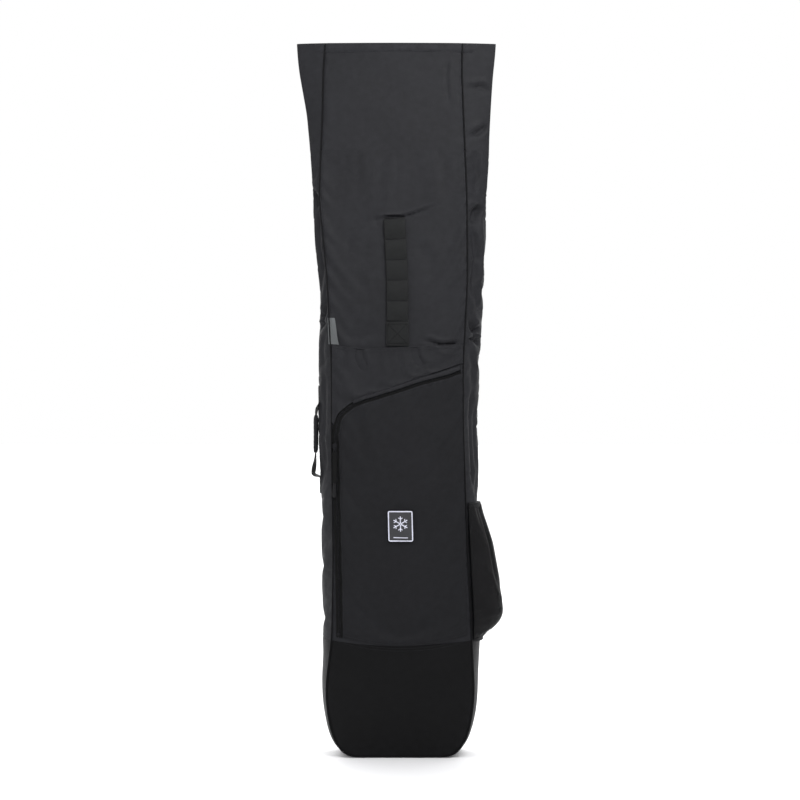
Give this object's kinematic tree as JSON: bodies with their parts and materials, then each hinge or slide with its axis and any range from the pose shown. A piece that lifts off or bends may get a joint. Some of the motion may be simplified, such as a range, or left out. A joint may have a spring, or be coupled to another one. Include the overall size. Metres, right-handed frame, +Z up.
{
  "type": "ski bag",
  "caption": "Long upright roll-top bag for skis or a snowboard, with a zipped front pocket, a mesh side pocket, a hook closure and shoulder straps.",
  "frame": {"origin": "centre of the flat face that the bag stands on", "axes": "+Z up the bag towards its mouth, -Y towards the front with the pocket, +X towards the mesh side pocket"},
  "size_m": [0.4772, 0.2028, 1.65],
  "materials": {
    "cloth": "coated plain weave",
    "heavy_cloth": "smooth coated cloth",
    "webbing": "woven webbing",
    "mesh": "knitted mesh",
    "foam": "lining over foam sheet",
    "plastic": "moulded",
    "metal": "anodised",
    "zip_metal": "black coated",
    "label": "moulded",
    "tag": "woven"
  },
  "bodies": {
    "bag": {"front_panel": "cloth", "pocket_back_panel": "cloth", "pocket_flap": "cloth", "pocket_face": "cloth", "pocket_zip_tape": "webbing", "zip_stops": "zip_metal", "left_gusset": "cloth", "right_gusset": "cloth", "back_panel": "cloth", "base_front_panel": "heavy_cloth", "base_back_panel": "heavy_cloth", "base_gusset": "heavy_cloth", "base_board": "plastic", "front_foam": "foam", "back_foam": "foam", "front_piping": "webbing", "back_piping": "webbing", "daisy_webbing": "webbing", "daisy_loops": "webbing", "daisy_end": "webbing", "front_label": "label", "side_tag": "tag", "mesh_pocket": "mesh", "mesh_elastic": "webbing", "handle_anchors": "webbing", "yoke": "heavy_cloth", "lower_anchors": "heavy_cloth"},
    "collar": {"collar_front": "cloth", "collar_right": "cloth", "collar_back": "cloth", "collar_left": "cloth", "closure_anchor": "webbing"},
    "mouth": {"mouth_front": "cloth", "mouth_right": "cloth", "mouth_back": "cloth", "mouth_left": "cloth", "mouth_hem": "webbing", "front_stiffener": "plastic", "back_stiffener": "plastic"},
    "closure_strap": {"closure_webbing": "webbing", "closure_adjuster": "plastic"},
    "closure_hook": {"closure_hook": "metal"},
    "side_handle": {"handle_webbing": "webbing", "handle_grip": "webbing"},
    "zip_slider": {"zip_slider": "zip_metal"},
    "zip_pull": {"zip_pull": "plastic"},
    "left_shoulder_strap": {"left_shoulder_pad": "cloth", "left_ladder_lock": "plastic", "left_lower_webbing": "webbing", "left_tail": "webbing"},
    "right_shoulder_strap": {"right_shoulder_pad": "cloth", "right_ladder_lock": "plastic", "right_lower_webbing": "webbing", "right_tail": "webbing"}
  },
  "joints": [
    {"name": "collar_fold", "type": "hinge", "parent": "bag", "child": "collar", "pos_m": [0, -0.07, 1.29], "axis": [1, 0, 0], "range_deg": [0, 180]},
    {"name": "mouth_fold", "type": "hinge", "parent": "collar", "child": "mouth", "pos_m": [0, -0.027, 1.48], "axis": [1, 0, 0], "range_deg": [0, 180]},
    {"name": "closure_strap_swing", "type": "hinge", "parent": "collar", "child": "closure_strap", "pos_m": [0.01259, 0.02661, 1.449], "axis": [1, 0, 0], "range_deg": [0, 175]},
    {"name": "closure_hook_swing", "type": "hinge", "parent": "closure_strap", "child": "closure_hook", "pos_m": [0.01259, 0.03951, 1.253], "axis": [1, 0, 0], "range_deg": [0, 110]},
    {"name": "side_handle_swing", "type": "hinge", "parent": "bag", "child": "side_handle", "pos_m": [-0.18863, 0, 0.73], "axis": [0, 0, 1], "range_deg": [-12, 12]},
    {"name": "pocket_zip_slide", "type": "slide", "parent": "bag", "child": "zip_slider", "axis": [-0.0212, 0.0138, 0.9997], "range_m": [-0.4, 0.034]},
    {"name": "zip_pull_swing", "type": "hinge", "parent": "zip_slider", "child": "zip_pull", "pos_m": [-0.14976, -0.07135, 0.71354], "axis": [1, 0, 0], "range_deg": [-165, 0]},
    {"name": "left_shoulder_strap_swing", "type": "hinge", "parent": "bag", "child": "left_shoulder_strap", "pos_m": [-0.044, 0.06892, 1], "axis": [-0.1509, 0.0092, -0.9885], "range_deg": [-12, 12]},
    {"name": "right_shoulder_strap_swing", "type": "hinge", "parent": "bag", "child": "right_shoulder_strap", "pos_m": [0.044, 0.06949, 1], "axis": [0.1509, 0.0096, -0.9885], "range_deg": [-12, 12]}
  ]
}
